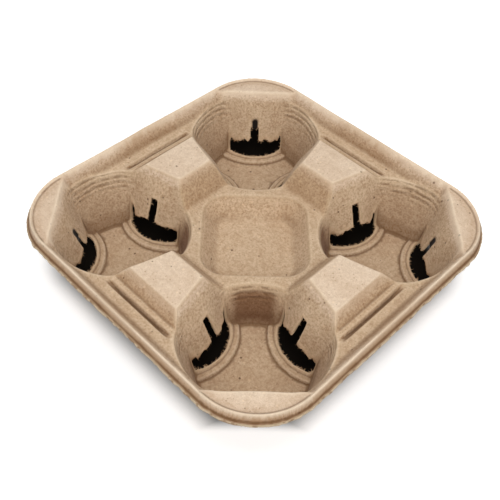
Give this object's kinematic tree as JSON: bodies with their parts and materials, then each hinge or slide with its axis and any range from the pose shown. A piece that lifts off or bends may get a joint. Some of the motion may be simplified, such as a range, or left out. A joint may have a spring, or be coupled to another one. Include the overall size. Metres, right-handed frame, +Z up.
{
  "type": "cup carrier tray",
  "caption": "Square moulded-pulp drinks carrier: a thin shell with deep cup pockets, slotted spring flaps, raised pads and a turned-down rim.",
  "frame": {"origin": "centre of the underside, at the level of the undersides of the cup floors", "axes": "+Z up; X and Y along the sides of the square tray"},
  "size_m": [0.2214, 0.2214, 0.0508],
  "materials": {
    "pulp": "unbleached moulded paper pulp, matt and speckled"
  },
  "bodies": {
    "root": {"cup_carrier": "pulp"}
  },
  "joints": []
}
